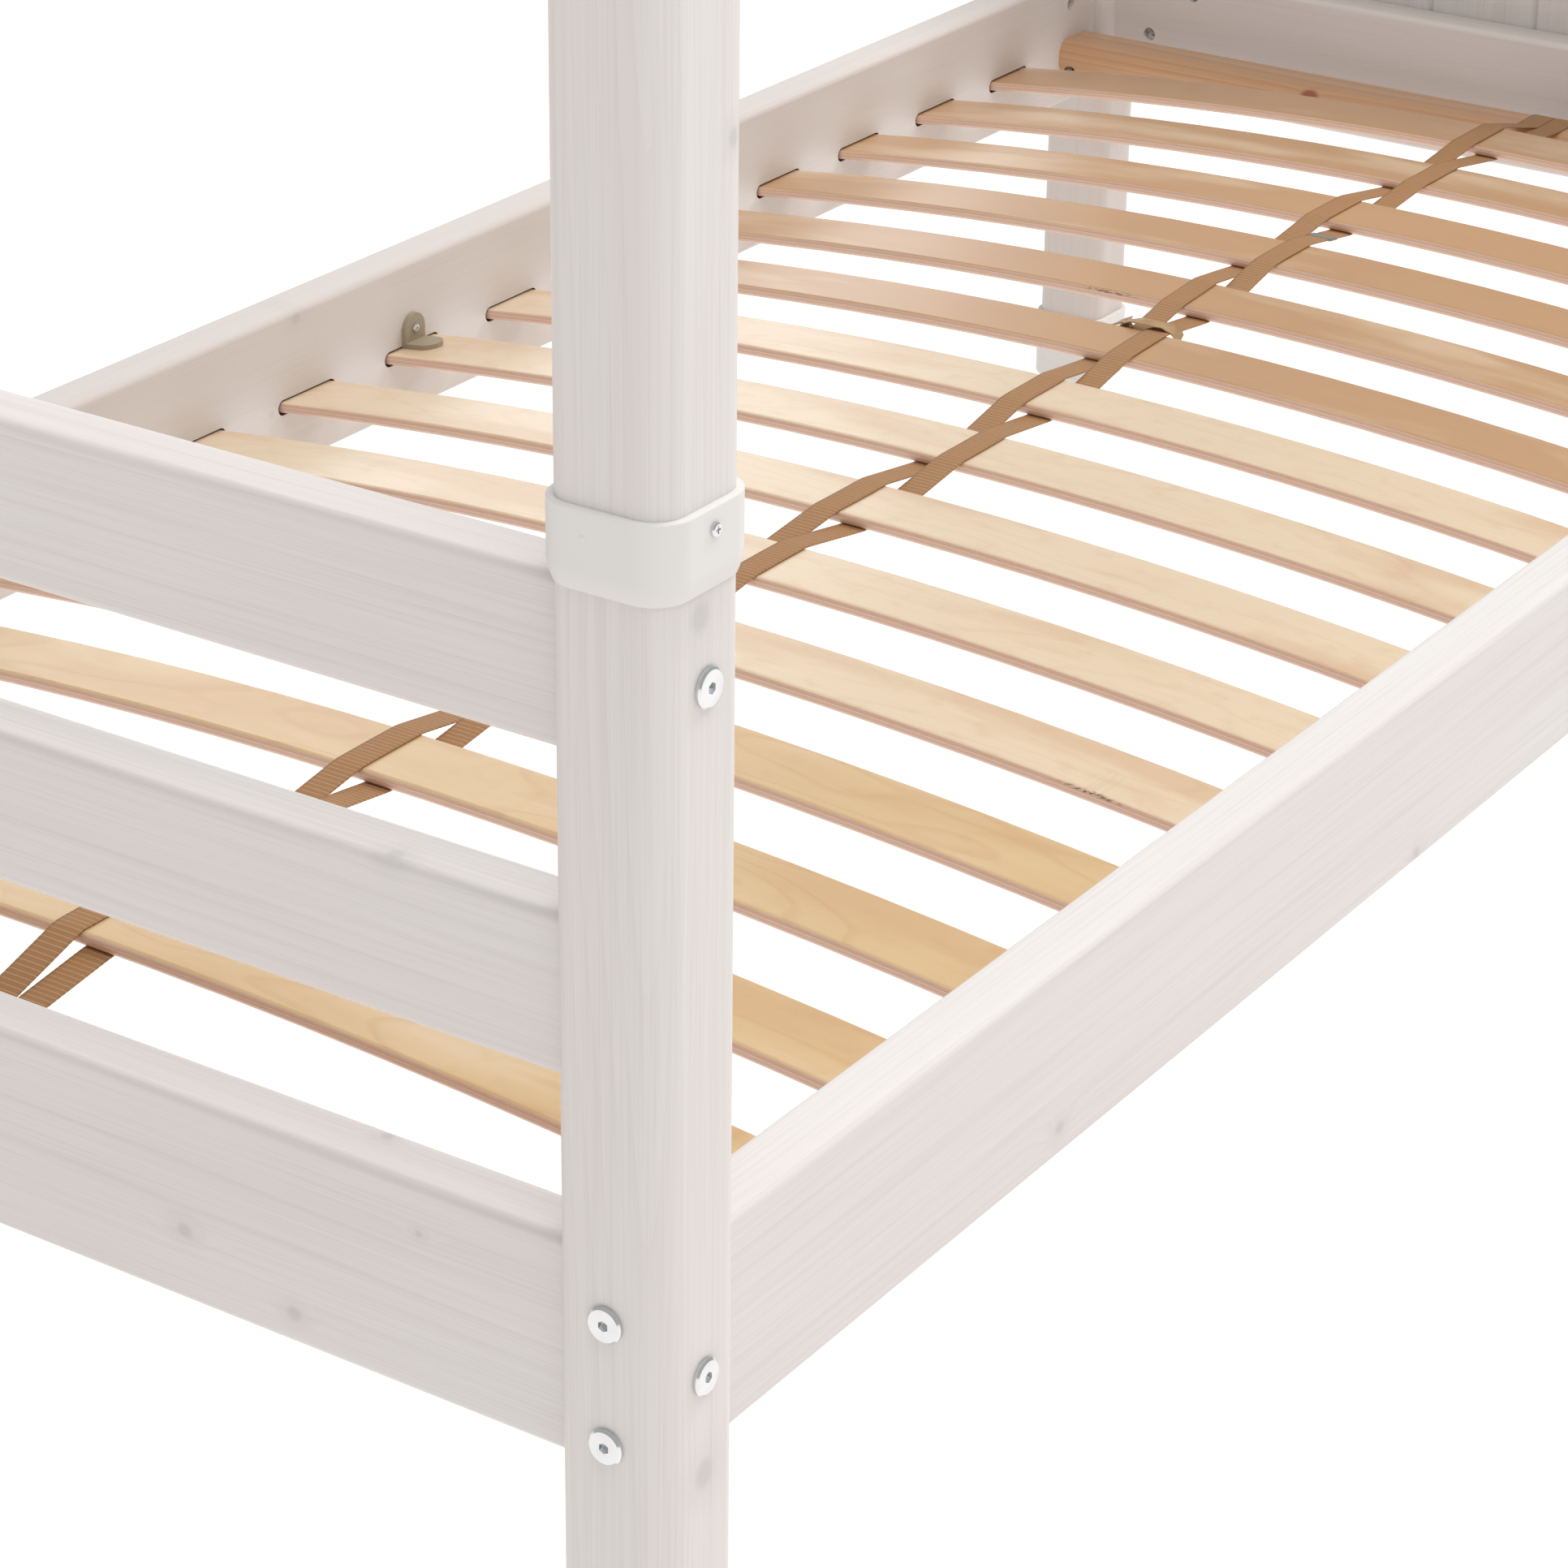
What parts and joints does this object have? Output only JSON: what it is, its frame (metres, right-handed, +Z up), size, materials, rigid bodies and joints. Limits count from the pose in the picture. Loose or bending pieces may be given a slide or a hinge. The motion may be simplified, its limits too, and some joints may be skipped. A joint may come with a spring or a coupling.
{
  "type": "treehouse bed",
  "caption": "Low single bed in white-stained pine with a bowed slat base, plank ends and a gabled house frame on upper posts.",
  "frame": {"origin": "on the floor, at the middle of the bed", "axes": "+X along the bed to the head end, +Y across it to the far side, +Z up"},
  "size_m": [2.109, 1.0156, 1.9955],
  "materials": {
    "whitewashed_pine": "white stain, matt",
    "birch_ply": "clear lacquered birch plywood",
    "natural_pine": "clear lacquered pine",
    "webbing": "ribbed webbing",
    "white_plastic": "fine satin moulding",
    "clip_plastic": "satin moulding",
    "zinc_steel": "bright zinc plate",
    "beech_dowel": "bare beech"
  },
  "bodies": {
    "root": {"post_foot_near": "whitewashed_pine", "post_foot_far": "whitewashed_pine", "post_head_near": "whitewashed_pine", "post_head_far": "whitewashed_pine", "upper_post_foot_near": "whitewashed_pine", "upper_post_foot_far": "whitewashed_pine", "upper_post_head_near": "whitewashed_pine", "upper_post_head_far": "whitewashed_pine", "rafter_foot_near": "whitewashed_pine", "rafter_foot_far": "whitewashed_pine", "rafter_head_near": "whitewashed_pine", "rafter_head_far": "whitewashed_pine", "foot_plank_bottom": "whitewashed_pine", "foot_plank_middle": "whitewashed_pine", "foot_plank_top": "whitewashed_pine", "head_plank_bottom": "whitewashed_pine", "head_plank_middle": "whitewashed_pine", "head_plank_top": "whitewashed_pine", "head_panel": "whitewashed_pine", "side_rail_near": "whitewashed_pine", "side_rail_far": "whitewashed_pine", "eaves_beam_near": "whitewashed_pine", "eaves_beam_far": "whitewashed_pine", "ridge_beam": "whitewashed_pine", "slat_01": "birch_ply", "slat_02": "birch_ply", "slat_03": "birch_ply", "slat_04": "birch_ply", "slat_05": "birch_ply", "slat_06": "birch_ply", "slat_07": "birch_ply", "slat_08": "birch_ply", "slat_09": "birch_ply", "slat_10": "birch_ply", "slat_11": "birch_ply", "slat_12": "birch_ply", "slat_13": "birch_ply", "slat_14": "birch_ply", "slat_15": "birch_ply", "strap_bar_foot": "natural_pine", "strap_bar_head": "natural_pine", "slat_strap_a": "webbing", "slat_strap_b": "webbing", "collar_foot_near": "white_plastic", "collar_foot_far": "white_plastic", "collar_head_near": "white_plastic", "collar_head_far": "white_plastic", "foot_cap_foot_near": "white_plastic", "foot_cap_foot_far": "white_plastic", "foot_cap_head_near": "white_plastic", "foot_cap_head_far": "white_plastic", "slat_clips": "clip_plastic", "rail_bolts": "zinc_steel", "plank_bolts": "zinc_steel", "barrel_nuts": "zinc_steel", "small_screws": "zinc_steel", "bar_screws": "zinc_steel", "panel_screws": "zinc_steel", "dowels": "beech_dowel", "joint_pins": "beech_dowel"}
  },
  "joints": []
}
